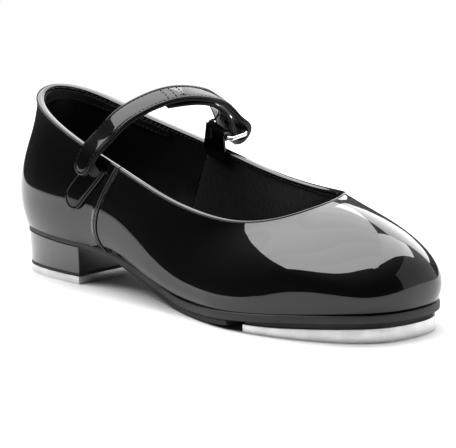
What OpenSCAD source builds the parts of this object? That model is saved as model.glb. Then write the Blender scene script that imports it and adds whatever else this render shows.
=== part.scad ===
// Child's tap shoe for the right foot: patent upper with a hook-and-loop instep strap,
// low block heel, and a metal tap under the toe and under the heel.
// +X points from heel to toe, +Y towards the inner side of the foot, +Z up, floor at z = 0.

/* [Overall] */
// Length of the sole from the back of the heel to the toe
sole_len = 196; // [165:1:236]
// Width of the sole across the ball of the foot
ball_w = 73; // [60:0.5:88]
// Height of the top edge at the back of the heel above the floor
back_h = 72; // [65:0.5:87]

/* [Sole] */
// Thickness of the outsole under the forepart
outsole_t = 3; // [2.4:0.1:3.6]
// Thickness of the outsole over the heel
seat_t = 2; // [1.6:0.1:2.4]
// Thickness of the rubber pad under the ball of the foot
pad_t = 2.3; // [1.9:0.1:2.8]
// Air between the rubber pad and the floor
pad_air = 0.3; // [0.2:0.1:0.8]
// How far the toe end of the sole rises above the ball
toe_spring = 5.2; // [4.3:0.1:6.4]
// How far the outsole stands out past the upper at the toe
sole_margin = 1; // [0.8:0.1:1.4]
// Thickness of the insole board
insole_t = 1.5; // [1.2:0.1:2]
// Thickness of the sock liner
sock_t = 2; // [1.5:0.1:3]
// Width of the steel shank plate
shank_w = 12; // [9:0.5:15]

/* [Heel] */
// Height of the heel block
block_h = 11.2; // [9:0.2:14]
// Distance from the back of the heel to its straight front face
breast_x = 42.5; // [35:0.5:51]
// Thickness of the rubber lift between block and tap
lift_t = 1; // [0.8:0.1:1.4]
// How much further forward the back of the heel is at the tap than at the seat
heel_taper = 1.4; // [0:0.1:3]
// Diameter of the nails that hold the block
nail_d = 2; // [1.6:0.1:2.4]

/* [Taps] */
// Thickness of the heel tap, and of the toe tap at its rear edge
tap_t = 3; // [2.5:0.1:3.6]
// Extra thickness of the toe tap at its front edge
tap_rise = 2.4; // [2:0.1:3]
// Length of the toe tap
toe_tap_len = 51; // [43:1:60]
// Diameter of the tap screws
screw_d = 2.4; // [2:0.1:2.9]
// Diameter of the heads of the tap screws
screw_head_d = 5; // [4.2:0.1:6]

/* [Upper] */
// Thickness of the patent leather
skin_t = 1.1; // [0.9:0.1:1.4]
// Thickness of the toe puff, the heel counter and the foam between skin and lining
core_t = 0.6; // [0.5:0.1:0.8]
// Thickness of the lining
lining_t = 0.6; // [0.5:0.1:0.8]
// Width of the leather that is turned in under the insole
tuck_w = 8; // [6:0.5:10]
// Height of the rolled binding along the top edge
binding_h = 1.9; // [1.6:0.1:2.4]

/* [Strap] */
// Width of the strap
strap_w = 10; // [8.5:0.5:12]
// Thickness of each of the two layers of the strap
strap_layer_t = 1.15; // [0.9:0.05:1.4]
// Height of the strap's arch above the top edge
strap_arch = 18; // [15:0.5:22]
// Wire thickness of the strap ring
wire_d = 1.6; // [1.3:0.1:2]
// Distance between the two long bars of the strap ring
ring_depth = 9.2; // [9:0.2:11]
// Width of the closure tab on the outer quarter
tab_w = 11; // [9:0.5:13]
// Thickness of the closure tab
tab_t = 1.1; // [0.9:0.1:1.3]
// Thickness of each hook or loop patch
pile_t = 0.6; // [0.5:0.1:0.8]

/* [Hidden] */

// Clearances: glued faces, and pieces of different bodies
glue = 0.05;
play = 0.3;
half_w = ball_w / 2;
// The heel bulges out behind the sole, so the middle of the whole shoe is further back
back_bulge = 4;
mid_x = (sole_len + sole_margin - back_bulge) / 2;

// Stations around the shoe, from the back of the heel along the outer side to the toe
// and back along the inner side. Stations 3 and 13 are the side seams, 8 is the toe.
seam_u = 3;
toe_u = 8;
turns = 16;
// Foot of the upper: share of the sole's length, share of half the ball width
feather = [
    [0.003, 0], [0.044, -0.51], [0.17, -0.66], [0.306, -0.65], [0.47, -0.71], [0.653, -0.995],
    [0.832, -0.89], [0.962, -0.49], [0.997, 0.06], [0.97, 0.55], [0.857, 0.87], [0.694, 0.985],
    [0.49, 0.67], [0.306, 0.6], [0.17, 0.64], [0.048, 0.48]];
// Top edge: share of the length, share of half the ball width, share of the back height
topline = [
    [0.005, 0, 0.995], [0.058, -0.38, 0.93], [0.187, -0.559, 0.815], [0.344, -0.681, 0.705],
    [0.489, -0.715, 0.591], [0.62, -0.627, 0.531], [0.718, -0.472, 0.559], [0.76, -0.205, 0.603],
    [0.773, 0.07, 0.631], [0.76, 0.33, 0.646], [0.719, 0.535, 0.633], [0.622, 0.71, 0.62],
    [0.5, 0.785, 0.646], [0.352, 0.705, 0.748], [0.194, 0.555, 0.863], [0.058, 0.385, 0.968]];
// Fullness of the wall, heel to toe: how far the lower handle stands out and its height as a
// share of the wall, then the same two for the upper handle
wall = [
    [13.3, 0.49, -1.2, 0.39], [7.2, 0.41, 1.3, 0.38], [8.5, 0.42, 2.1, 0.3], [9.4, 0.23, 3.1, 0.39],
    [12.6, 0.13, 3.5, 0.47], [3.4, 0.34, 4.4, 0.37], [1.5, 0.6, 14.6, 0.39], [8, 0.45, 20.8, 0.28],
    [9, 0.6, 23.4, 0.05]];

// Smooth step from 0 to 1
function ease(t) = let (c = max(0, min(1, t))) c * c * (3 - 2 * c);
function wrap(i, n) = (i % n + n) % n;
function unit(v) = v / norm(v);

// Control points of the closed cubic spline through the points p
function closed_fit(p, c, k) = k == 0 ? c : closed_fit(p, [
    for (i = [0 : len(p) - 1])
        (6 * p[i] - c[wrap(i - 1, len(p))] - c[wrap(i + 1, len(p))]) / 4], k - 1);
// Control points of the open cubic spline through the points p
function open_fit(p, c, k) = k == 0 ? c : open_fit(p, [
    for (i = [0 : len(p) - 1]) i == 0 || i == len(p) - 1 ? p[i]
        : (6 * p[i] - c[i - 1] - c[i + 1]) / 4], k - 1);
fit_rounds = 16;

function spline_mix(a, b, c, d, t) =
    (pow(1 - t, 3) * a + (3 * t * t * t - 6 * t * t + 4) * b
        + (-3 * t * t * t + 3 * t * t + 3 * t + 1) * c + t * t * t * d) / 6;
// Point of a closed spline at station u
function around(c, u) = let (i = floor(u), n = len(c))
    spline_mix(c[wrap(i - 1, n)], c[wrap(i, n)], c[wrap(i + 1, n)], c[wrap(i + 2, n)], u - i);
// Point of an open spline at station u
function along(c, u) = let (
        n = len(c), i = min(n - 2, floor(u)),
        before = i == 0 ? 2 * c[0] - c[1] : c[i - 1],
        after = i == n - 2 ? 2 * c[n - 1] - c[n - 2] : c[i + 2])
    spline_mix(before, c[i], c[i + 1], after, u - i);

// Height of the outsole's upper face along the shoe
ball_z = pad_air + pad_t + outsole_t;
seat_z = tap_t + lift_t + block_h + seat_t;
ball_x = 0.55 * sole_len;
heel_rise = 1.8;
function sole_top(x) =
    ball_z + (seat_z - ball_z) * ease((ball_x - x) / (0.32 * sole_len))
        + toe_spring * ease((x - ball_x) / (sole_len - ball_x))
        + heel_rise * ease(1 - x / breast_x);
function sole_thickness(x) = seat_t + (outsole_t - seat_t) * ease((x - breast_x) / breast_x);

feather_st = [for (f = feather) [f[0] * sole_len, f[1] * half_w]];
feather_fit = closed_fit(feather_st, feather_st, fit_rounds);
function foot_xy(u) = around(feather_fit, u);
function foot_out(u) = let (t = foot_xy(u + 0.02) - foot_xy(u - 0.02)) unit([t[1], -t[0]]);
top_st = [for (t = topline) [t[0] * sole_len, t[1] * half_w, t[2] * back_h]];
wall_st = [for (i = [0 : turns - 1]) wall[i <= toe_u ? i : turns - i]];
low_st = [for (i = [0 : turns - 1]) let (
        f = feather_st[i], w = wall_st[i], o = foot_out(i), z = sole_top(f[0]))
    [f[0] + o[0] * w[0], f[1] + o[1] * w[0], z + w[1] * (top_st[i][2] - z)]];
high_st = [for (i = [0 : turns - 1]) let (
        t = top_st[i], w = wall_st[i], o = foot_out(i), z = sole_top(feather_st[i][0]))
    [t[0] + o[0] * w[2], t[1] + o[1] * w[2], t[2] - w[3] * (t[2] - z)]];
low_fit = closed_fit(low_st, low_st, fit_rounds);
high_fit = closed_fit(high_st, high_st, fit_rounds);
top_fit = closed_fit(top_st, top_st, fit_rounds);

function foot(u) = let (f = foot_xy(u)) [f[0], f[1], sole_top(f[0]) + glue];
function top(u) = around(top_fit, u);
// Outer face of the upper: u around the shoe, v from the sole at 0 to the top edge at 1
function skin(u, v) = let (w = 1 - v)
    w * w * w * foot(u) + 3 * w * w * v * around(low_fit, u)
        + 3 * w * v * v * around(high_fit, u) + v * v * v * top(u);
function skin_out(u, v) = unit(cross(
    skin(u + 0.03, v) - skin(u - 0.03, v), skin(u, min(1, v + 0.02)) - skin(u, max(0, v - 0.02))));
// Point at a depth inside the outer face
function under(u, v, d) = skin(u, v) - d * skin_out(u, v);

// Solid between an outer and an inner grid of points, whose rows run up the wall
module thick_sheet(outer, inner, closed = false) {
    n = len(outer);
    m = len(outer[0]);
    pts = [for (g = [outer, inner]) for (row = g) for (p = row) p];
    last = closed ? n - 1 : n - 2;
    function at(side, i, j) = side * n * m + wrap(i, n) * m + j;
    skins = [for (i = [0 : last]) for (j = [0 : m - 2]) each [
        [at(0, i, j), at(0, i + 1, j + 1), at(0, i + 1, j)],
        [at(0, i, j), at(0, i, j + 1), at(0, i + 1, j + 1)],
        [at(1, i, j), at(1, i + 1, j), at(1, i + 1, j + 1)],
        [at(1, i, j), at(1, i + 1, j + 1), at(1, i, j + 1)]]];
    rims = [for (i = [0 : last]) each [
        [at(0, i, 0), at(0, i + 1, 0), at(1, i + 1, 0)],
        [at(0, i, 0), at(1, i + 1, 0), at(1, i, 0)],
        [at(0, i, m - 1), at(1, i + 1, m - 1), at(0, i + 1, m - 1)],
        [at(0, i, m - 1), at(1, i, m - 1), at(1, i + 1, m - 1)]]];
    ends = closed ? [] : [for (j = [0 : m - 2]) each [
        [at(0, 0, j), at(1, 0, j + 1), at(0, 0, j + 1)],
        [at(0, 0, j), at(1, 0, j), at(1, 0, j + 1)],
        [at(0, n - 1, j), at(0, n - 1, j + 1), at(1, n - 1, j + 1)],
        [at(0, n - 1, j), at(1, n - 1, j + 1), at(1, n - 1, j)]]];
    polyhedron(pts, concat(skins, rims, ends), convexity = 8);
}

// Steps of the shells: pieces for each station, and rows up the wall
u_steps = 5;
v_rows = 9;
// The side seams curve back between the sole and the top edge
seam_bow = 0.16;
function seam_shift(v) = -seam_bow * 4 * v * (1 - v);
function near_seam(u, s) = max(0, 1 - abs(u - s));
function u_on(u, v) = u + seam_shift(v) * (near_seam(u, seam_u)
    - near_seam(u, turns - seam_u) - near_seam(u, -seam_u));

// Station height at a distance below the top edge, and at a distance above the sole
function rim_v(u, drop) = 1 - drop / (3 * norm(top(u) - around(high_fit, u)));
function foot_v(u, rise) = rise / (3 * norm(around(low_fit, u) - foot(u)));

// One layer of the upper between two stations and two depths. All layers share one grid, so
// that they nest: rows count from just above the turned-in edge up to the binding.
module layer(u0, u1, d0, d1, row0 = 0, row1 = v_rows, tuck = 0) {
    function on_grid(i) = ceil(u0 * u_steps + 0.5) + i;
    inside = [for (i = [0 : ceil((u1 - u0) * u_steps)]) if (on_grid(i) / u_steps < u1 - 0.1)
        on_grid(i) / u_steps];
    us = concat([u0], inside, [u1]);
    function level(u, j) = let (a = foot_v(u, skin_t + 2 * glue), b = rim_v(u, binding_h + rim_gap))
        a + (b - a) * j / v_rows;
    function tucked(u, lift) = let (p = foot(u) - tuck * [foot_out(u)[0], foot_out(u)[1], 0])
        [p[0], p[1], sole_top(p[0]) + glue + lift];
    function row(u, d) = concat(tuck > 0 ? [under(u_on(u, 0), 0, d)] : [],
        [for (j = [row0 : row1]) let (v = level(u, j)) under(u_on(u, v), v, d)]);
    function floored(p) = [p[0], p[1], max(p[2], sole_top(p[0]) + glue + d1)];
    outer = [for (u = us) tuck > 0 ? concat([tucked(u, 0)], row(u, d0)) : row(u, d0)];
    inner = [for (u = us) tuck > 0
        ? concat([tucked(u, d1)], [for (p = row(u, d1)) floored(p)]) : row(u, d1)];
    thick_sheet(outer, inner);
}

core_d = skin_t + glue;
lining_d = core_d + core_t + glue;
full_t = lining_d + lining_t;
rim_gap = 0.2;
seam_gap = 0.01;
puff_u = 2.4;
counter_u = 2.4;
foam_gap = 0.02;

module vamp() {
    color("#0b0b0d") layer(seam_u + seam_gap, turns - seam_u - seam_gap, 0, skin_t, tuck = tuck_w);
}

module quarter_lateral() {
    color("#0b0b0d") layer(seam_gap, seam_u - seam_gap, 0, skin_t, tuck = tuck_w);
}

module quarter_medial() {
    color("#0b0b0d") layer(turns - seam_u + seam_gap, turns - seam_gap, 0, skin_t, tuck = tuck_w);
}

module toe_puff() {
    color("#8a7a60")
        layer(toe_u - puff_u, toe_u + puff_u, core_d, core_d + core_t, row1 = 6);
}

module heel_counter() {
    color("#8a7a60")
        layer(-counter_u, counter_u, core_d, core_d + core_t, row1 = 6);
}

module foam_lateral() {
    color("#d8d4c4") layer(counter_u + foam_gap, toe_u - puff_u - foam_gap, core_d,
        core_d + core_t);
}

module foam_medial() {
    color("#d8d4c4") layer(toe_u + puff_u + foam_gap, turns - counter_u - foam_gap, core_d,
        core_d + core_t);
}

module vamp_lining() {
    color("#141416") layer(seam_u + seam_gap, turns - seam_u - seam_gap, lining_d, full_t);
}

module quarter_lining() {
    color("#1c1c1f") layer(-seam_u + seam_gap, seam_u - seam_gap, lining_d, full_t);
}

collar_t = 0.5;
module collar_facing() {
    color("#222226") layer(-counter_u, counter_u, full_t + glue, full_t + glue + collar_t, row0 = 8);
}

// Rolled edge that caps the layers of the upper between two stations
binding_lip = 0.35;
module binding(u0, u1) {
    n = round((u1 - u0) * u_steps);
    in_d = full_t + binding_lip;
    function place(u, d, drop) = let (
            o = skin_out(u, 0.99), a = unit(skin(u, 1) - skin(u, 0.98)))
        top(u) - d * o - drop * a;
    us = [for (i = [0 : n]) u0 + (u1 - u0) * i / n];
    outer = [for (u = us) [place(u, -binding_lip, binding_h), place(u, -binding_lip, 0.7),
        place(u, 0.5, 0)]];
    inner = [for (u = us) [place(u, in_d, binding_h), place(u, in_d, 0.7),
        place(u, full_t - 0.5, 0)]];
    thick_sheet(outer, inner);
}

module vamp_binding() { color("#0b0b0d") binding(seam_u + seam_gap, turns - seam_u - seam_gap); }
module quarter_binding() { color("#0b0b0d") binding(-seam_u + seam_gap, seam_u - seam_gap); }

// Plan outline of the shoe at a distance outside the foot of the upper
outline_steps = 4;
module outline(grow) {
    polygon([for (i = [0 : turns * outline_steps - 1]) let (u = i / outline_steps, p = foot_xy(u))
        p + grow(p[0]) * foot_out(u)]);
}

// Plate between two heights that follow the length of the shoe, cut to the plan shape in
// children
module plate(x0, x1, low, high) {
    n = ceil((x1 - x0) / profile_step);
    xs = [for (i = [0 : n]) x0 + (x1 - x0) * i / n];
    intersection() {
        linear_extrude(height = back_h) children();
        rotate([90, 0, 0]) linear_extrude(height = 2 * ball_w, center = true)
            polygon(concat([for (x = xs) [x, low(x)]], [for (i = [n : -1 : 0]) [xs[i], high(xs[i])]]));
    }
}
profile_step = 6;

seat_margin = -0.7;
function outsole_grow(x) =
    seat_margin + (sole_margin - seat_margin) * ease((x - breast_x) / (0.3 * sole_len));
function outsole_low(x) = sole_top(x) - sole_thickness(x);

nail_y = max(0.2 * half_w, shank_w / 2 + nail_d / 2 + play);
nails = [for (x = [0.061 * sole_len, 0.7 * breast_x]) for (side = [-1, 1]) [x, side * nail_y]];
nail_len = block_h + 4.8;
nail_head_d = 2.2 * nail_d;
nail_head_t = 0.6;
fit_gap = 0.03;

// Heel nails grown by a gap, so that the same shape is the nail and its hole
module nail_bodies(gap) {
    for (p = nails) translate([p[0], p[1], insole_top(p[0]) - 0.2]) {
        translate([0, 0, -nail_len]) cylinder(d = nail_d + 2 * gap, h = nail_len, $fn = 24);
        translate([0, 0, -nail_head_t - gap])
            cylinder(d = nail_head_d + 2 * gap, h = nail_head_t + gap, $fn = 24);
    }
}
module heel_nails() { color("#9a9ca0") nail_bodies(0); }
function insole_low(x) = sole_top(x) + skin_t + 2 * glue;
function insole_top(x) = insole_low(x) + insole_t;

module outsole() {
    color("#151517") difference() {
        plate(-2 * back_bulge, sole_len + 2 * back_bulge, function(x) outsole_low(x),
            function(x) sole_top(x)) outline(function(x) outsole_grow(x));
        nail_bodies(fit_gap);
        toe_screw_bodies(fit_gap);
    }
}

// Rubber pad under the ball: its rear end thins out towards the waist
pad_x0 = 0.33 * sole_len;
toe_tap_x0 = sole_len - toe_tap_len - 2;
pad_x1 = toe_tap_x0 - 7;
pad_inset = 0.5;
function pad_high(x) = outsole_low(x) - glue;
module sole_pad() {
    color("#1b1b1d") plate(pad_x0, pad_x1,
        function(x) pad_high(x) - pad_t * (0.35 + 0.65 * ease((x - pad_x0) / 15)),
        function(x) pad_high(x)) outline(function(x) outsole_grow(x) - pad_inset);
}

filler_gap = 0.4;
shank_x0 = 0.1 * sole_len;
shank_x1 = 0.6 * sole_len;
shank_t = 0.9;
module shank_plan(gap) {
    translate([shank_x0 + shank_w / 2, 0]) circle(d = shank_w + 2 * gap, $fn = 48);
    translate([shank_x1 - shank_w / 2, 0]) circle(d = shank_w + 2 * gap, $fn = 48);
    translate([shank_x0 + shank_w / 2, -shank_w / 2 - gap])
        square([shank_x1 - shank_x0 - shank_w, shank_w + 2 * gap]);
}

module bottom_filler() {
    color("#b58b5a") difference() {
        plate(0, sole_len, function(x) sole_top(x) + glue, function(x) sole_top(x) + glue + skin_t)
            difference() {
                outline(function(x) -tuck_w - filler_gap);
                shank_plan(filler_gap);
            }
        nail_bodies(fit_gap);
    }
}

module shank_plate() {
    color("#9a9ca0") difference() {
        plate(shank_x0 - 1, shank_x1 + 1, function(x) sole_top(x) + glue,
            function(x) sole_top(x) + glue + shank_t) shank_plan(0);
        rivet_bodies(fit_gap);
    }
}

rivet_xs = [0.19 * sole_len, 0.5 * sole_len];
rivet_d = 3;
rivet_head_d = 5.5;
rivet_head_t = 0.5;
module rivet_bodies(gap) {
    for (x = rivet_xs) translate([x, 0, 0]) {
        translate([0, 0, sole_top(x) + 3 * glue + 0.2])
            cylinder(d = rivet_d + 2 * gap, h = insole_top(x) - sole_top(x) - 0.6, $fn = 24);
        translate([0, 0, insole_top(x) - 0.3 - rivet_head_t - gap])
            cylinder(d = rivet_head_d + 2 * gap, h = rivet_head_t + gap + (gap > 0 ? 1 : 0), $fn = 24);
    }
}
module shank_rivets() { color("#b0b2b6") rivet_bodies(0); }

insole_inset = 0.15;
module insole_board() {
    color("#c9b28a") difference() {
        plate(-back_bulge, sole_len, function(x) insole_low(x), function(x) insole_top(x))
            outline(function(x) -full_t - insole_inset);
        nail_bodies(fit_gap);
        for (p = nails) translate([p[0], p[1], insole_top(p[0]) - 0.3])
            cylinder(d = nail_head_d + 2 * fit_gap, h = 1, $fn = 24);
        rivet_bodies(fit_gap);
    }
}

module sock_liner() {
    color("#202024") plate(-back_bulge, sole_len, function(x) insole_top(x) + glue,
        function(x) insole_top(x) + glue + sock_t) outline(function(x) -full_t - insole_inset);
}

// Plan of the heel: the back of the sole cut off straight, narrowed by a share about the
// middle of the straight face
module heel_plan(inset, share) {
    intersection() {
        polygon([for (i = [0 : turns * outline_steps - 1]) let (
                u = i / outline_steps, p = foot_xy(u) - inset * foot_out(u))
            [breast_x + (p[0] - breast_x) * share, p[1] * share]]);
        translate([-back_bulge, -ball_w]) square([breast_x + back_bulge, 2 * ball_w]);
    }
}
heel_foot = 1 - heel_taper / breast_x;

block_inset = 0.4;
tap_inset = 0.2;
module heel_block() {
    color("#0d0d0f") difference() {
        intersection() {
            translate([breast_x, 0, tap_t + lift_t + 2 * glue])
                linear_extrude(height = block_h + 2 * heel_rise, scale = 1 / heel_foot)
                    translate([-breast_x, 0]) heel_plan(block_inset, heel_foot);
            plate(-2 * back_bulge, breast_x, function(x) tap_t + lift_t + 2 * glue,
                function(x) outsole_low(x) - glue) translate([-ball_w, -ball_w]) square(3 * ball_w);
        }
        nail_bodies(fit_gap);
        heel_screw_bodies(fit_gap);
    }
}

module heel_lift() {
    color("#1b1b1d") difference() {
        translate([0, 0, tap_t + glue]) linear_extrude(height = lift_t) heel_plan(block_inset, heel_foot);
        heel_screw_bodies(fit_gap);
    }
}

// Countersunk screw from the underside of a tap, grown by a gap for its hole
screw_sink = 0.3;
module tap_screw(len, gap) {
    cone_h = (screw_head_d - screw_d) / 2;
    translate([0, 0, gap > 0 ? -1 : screw_sink]) cylinder(d = screw_head_d + 2 * gap,
        h = 0.3 + (gap > 0 ? 1 + screw_sink : 0), $fn = 32);
    translate([0, 0, screw_sink + 0.3])
        cylinder(d1 = screw_head_d + 2 * gap, d2 = screw_d + 2 * gap, h = cone_h, $fn = 32);
    translate([0, 0, screw_sink + 0.3 + cone_h - 0.01])
        cylinder(d = screw_d + 2 * gap, h = len - cone_h - 0.6, $fn = 32);
}

heel_screws = [[0.28 * breast_x, 0], [0.76 * breast_x, -0.36 * half_w], [0.76 * breast_x, 0.36 * half_w]];
heel_screw_len = 10;
module heel_screw_bodies(gap) {
    for (p = heel_screws) translate([p[0], p[1], 0]) tap_screw(heel_screw_len, gap);
}

module heel_tap() {
    color("#c8cacc") difference() {
        linear_extrude(height = tap_t) heel_plan(tap_inset, heel_foot);
        heel_screw_bodies(fit_gap);
    }
}
module heel_tap_screws() { color("#8d8f93") heel_screw_bodies(0); }

function toe_tap_high(x) = tap_t + tap_rise * ease((x - toe_tap_x0) / toe_tap_len);
toe_tap_inset = 1.7;
board_inset = 2.4;
tap_hollow_r = 60;
tap_hollow = 5;
// Plan of the toe tap: the front of the sole, with a hollowed rear edge
module toe_plan(inset, setback) {
    difference() {
        intersection() {
            outline(function(x) outsole_grow(x) - inset);
            translate([toe_tap_x0 + setback, -ball_w]) square([2 * toe_tap_len, 2 * ball_w]);
        }
        translate([toe_tap_x0 + setback + tap_hollow - tap_hollow_r, 0])
            circle(r = tap_hollow_r, $fn = 96);
    }
}

toe_screws = [[0.27, -0.52], [0.27, 0.52], [0.75, 0.04]];
module toe_screw_bodies(gap) {
    for (p = toe_screws) let (x = toe_tap_x0 + p[0] * toe_tap_len)
        translate([x, p[1] * half_w, 0]) tap_screw(sole_top(x) - 0.8, gap);
}

module toe_tap() {
    color("#d4d6d8") difference() {
        plate(toe_tap_x0 - 1, sole_len + 4, function(x) 0, function(x) toe_tap_high(x))
            toe_plan(toe_tap_inset, 0);
        toe_screw_bodies(fit_gap);
    }
}

module toe_tap_board() {
    color("#101012") difference() {
        plate(toe_tap_x0 - 1, sole_len + 4, function(x) toe_tap_high(x) + glue,
            function(x) outsole_low(x) - glue) toe_plan(board_inset, 0.6);
        toe_screw_bodies(fit_gap);
    }
}
module toe_tap_screws() { color("#8d8f93") toe_screw_bodies(0); }

// Closure tab and loop patch: strips laid on the outer quarter. A strip runs from its low
// rounded end, a along it and b across it in millimetres.
tab_low = [2.3, 0.35];
tab_top = [2.62, 0.9];
tab_mid = (tab_low + tab_top) / 2;
along_u = (skin(tab_mid[0] + 0.05, tab_mid[1]) - skin(tab_mid[0] - 0.05, tab_mid[1])) / 0.1;
along_v = (skin(tab_mid[0], tab_mid[1] + 0.05) - skin(tab_mid[0], tab_mid[1] - 0.05)) / 0.1;
tab_span = (tab_top[0] - tab_low[0]) * along_u + (tab_top[1] - tab_low[1]) * along_v;
tab_len = norm(tab_span);
tab_side = cross(skin_out(tab_mid[0], tab_mid[1]), tab_span / tab_len);
// Share of a station for one millimetre along a direction on the quarter
function to_station(d) = let (
        uu = along_u * along_u, uv = along_u * along_v, vv = along_v * along_v,
        du = d * along_u, dv = d * along_v, k = uu * vv - uv * uv)
    [(du * vv - dv * uv) / k, (dv * uu - du * uv) / k];
tab_step = to_station(tab_span / tab_len);
side_step = to_station(tab_side);
function on_quarter(a, b, d) = let (s = tab_low + a * tab_step + b * side_step) under(s[0], s[1], -d);

// Places along a strip and half widths there, for a strip of half width r with a round start
function round_start(a0, a1, r, steps) = concat(
    [for (q = [12 : 13 : 77]) [a0 + r * (1 - cos(q)), r * sin(q)]],
    [for (i = [0 : steps]) [a0 + r + (a1 - a0 - r) * i / steps, r]]);

module quarter_strip(a0, a1, w, d0, d1) {
    rows = round_start(a0, a1, w / 2, 6);
    across = [-1, -0.5, 0, 0.5, 1];
    outer = [for (s = rows) [for (k = across) on_quarter(s[0], k * s[1], d1)]];
    inner = [for (s = rows) [for (k = across) on_quarter(s[0], k * s[1], d0)]];
    thick_sheet(outer, inner);
}

tab_gap = 0.2;
loop_start = 17;
module closure_tab() { color("#0b0b0d") quarter_strip(0, tab_len, tab_w, tab_gap, tab_gap + tab_t); }
loop_d = tab_gap + tab_t + glue;
module loop_patch() {
    color("#242428") quarter_strip(loop_start, tab_len - 1, tab_w - 3, loop_d, loop_d + pile_t);
}

// Strap ring: its inner bar turns in the ring tab above the inner top edge
ring_u = 12.9;
ring_slope = 22;
ring_tilt = 8;
bar_rise = 5.8;
ring_room = 1.3;
ring_bend = 1.6;
tab_bore = wire_d / 2 + play;
ring_tab_t = 1;
ring_top = top(ring_u);
bar_1 = [ring_top[0], ring_top[1] - full_t - binding_lip - glue + tab_bore + 0.5, ring_top[2] + bar_rise];
bar_dir = [cos(ring_slope), 0, -sin(ring_slope)];
bar_up = [sin(ring_slope), 0, cos(ring_slope)];
bar_2 = bar_1 + ring_depth * (cos(ring_tilt) * [0, 1, 0] + sin(ring_tilt) * bar_up);
ring_w = strap_w + 2 * ring_room + wire_d;

module ring_frame(tilt = ring_tilt) {
    translate(bar_1) rotate([0, ring_slope, 0]) rotate([tilt, 0, 0]) children();
}

module wire_bar(len) {
    translate([-len / 2, 0, 0]) rotate([0, 90, 0]) cylinder(d = wire_d, h = len, $fn = 24);
}
module wire_bend() {
    rotate_extrude(angle = 90, $fn = 48) translate([ring_bend, 0]) circle(d = wire_d, $fn = 24);
}

module strap_ring() {
    long = ring_w - 2 * ring_bend;
    short = ring_depth - 2 * ring_bend;
    color("#d9dbde") ring_frame() {
        for (y = [0, ring_depth]) translate([0, y, 0]) wire_bar(long);
        for (s = [-1, 1])
            translate([s * ring_w / 2, ring_depth / 2, 0]) rotate([0, 0, 90]) wire_bar(short);
        for (s = [0, 1]) mirror([s, 0, 0]) {
            translate([long / 2, ring_bend + short, 0]) wire_bend();
            translate([long / 2, ring_bend, 0]) rotate([0, 0, -90]) wire_bend();
        }
    }
}

// Ring tab: one leather strip, up inside the lining and round the inner bar
ring_tab_w = ring_w - 2 * ring_bend - 0.6;
leg_low = 0.9;
module ring_tab() {
    leg_d = full_t + binding_lip + glue;
    function leg_u(s) = ring_u - s / norm(top(ring_u + 0.5) - top(ring_u - 0.5));
    function rim_point(u, d) = top(u) - d * skin_out(u, 0.99);
    function loop_point(s, a, r) = bar_1 + s * bar_dir + r * (sin(a) * bar_up - cos(a) * [0, 1, 0]);
    function face(d) = [for (k = [-2 : 2]) let (s = k * ring_tab_w / 4, u = leg_u(s)) concat(
        [for (v = [leg_low, 0.93, 0.975]) under(u, v, leg_d + d)], [rim_point(u, leg_d + d)],
        [for (a = [0 : 14.5 : 290]) loop_point(s, a, tab_bore + d)])];
    color("#0b0b0d") thick_sheet(face(ring_tab_t), face(0));
}

// Middle of the strap's thickness, from the free end up over the instep, round the outer bar
// of the ring and back under the arch. Each station: point, turn and slope of its width.
near_u = 2.57;
near_top = top(near_u);
strap_t = 2 * strap_layer_t;
stack_d = tab_gap + tab_t + 2 * pile_t + 2 * glue + play + strap_layer_t;
fold_r = 4.2;
fold_drop = 1.4;
function arch(s, shift, h) = near_top + s * (bar_2 - near_top) + [shift, 0, h * strap_arch];
function fold(a) = bar_2 - fold_drop * bar_up + fold_r * (cos(a) * [0, 1, 0] + sin(a) * bar_up);
strap_st = concat(
    [under(2.48, 0.72, -stack_d), under(2.52, 0.955, -stack_d),
        arch(0.028, 0.9, 0.37), arch(0.138, 2.7, 0.72), arch(0.339, 3.1, 0.95),
        arch(0.555, 2.7, 0.99), arch(0.759, 1.4, 0.83), arch(0.89, 0.4, 0.6), arch(0.985, 0, 0.27)],
    [for (a = [45 : -56 : -179]) fold(a)],
    [arch(0.84, 1.1, 0.51), arch(0.66, 1.6, 0.81), arch(0.43, 2.4, 0.885)]);
strap_turn = [for (i = [0 : len(strap_st) - 1]) let (k = max(0, min(1, (i - 2) / 5)))
    [-12 + 12 * ease(k), -13 - 9 * min(1, i / 7)]];
strap_fit = open_fit(strap_st, strap_st, fit_rounds);
turn_fit = open_fit(strap_turn, strap_turn, fit_rounds);
peel_t = 4;
strap_end_t = len(strap_st) - 1;
function strap_along(t) = let (h = 0.02, a = max(0, t - h), b = min(strap_end_t, t + h))
    unit(along(strap_fit, b) - along(strap_fit, a));
function strap_side(t) = let (q = along(turn_fit, t), f = strap_along(t),
        w = [cos(q[0]) * cos(q[1]), sin(q[0]) * cos(q[1]), sin(q[1])])
    unit(w - (w * f) * f);
function strap_point(t, b, d) = along(strap_fit, t) + b * strap_side(t)
    + d * cross(strap_side(t), strap_along(t));

// The folded end is skived thin where it lies under the arch
skived = 0.45;
function skive(t) = 1 - (1 - skived) * ease((t - strap_end_t + 3) / 2);

// Layer of the strap between two places and two heights, with a round or a straight start
strap_speed = norm(strap_st[1] - strap_st[0]);
module strap_layer(t0, t1, w, d0, d1, round_end, steps) {
    rows = round_end
        ? [for (s = round_start(t0 * strap_speed, t1 * strap_speed, w / 2, steps))
            [s[0] / strap_speed, s[1]]]
        : [for (i = [0 : steps]) [t0 + (t1 - t0) * i / steps, w / 2]];
    across = [-1, -0.85, 0.85, 1];
    crown = [0.35, 0, 0, 0.35];
    outer = [for (r = rows) [for (k = [0 : 3]) strap_point(r[0], across[k] * r[1],
        skive(r[0]) * (d1 > 0 ? d1 - crown[k] * strap_layer_t : d1))]];
    inner = [for (r = rows) [for (k = [0 : 3]) strap_point(r[0], across[k] * r[1], skive(r[0]) * d0)]];
    thick_sheet(inner, outer);
}

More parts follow.
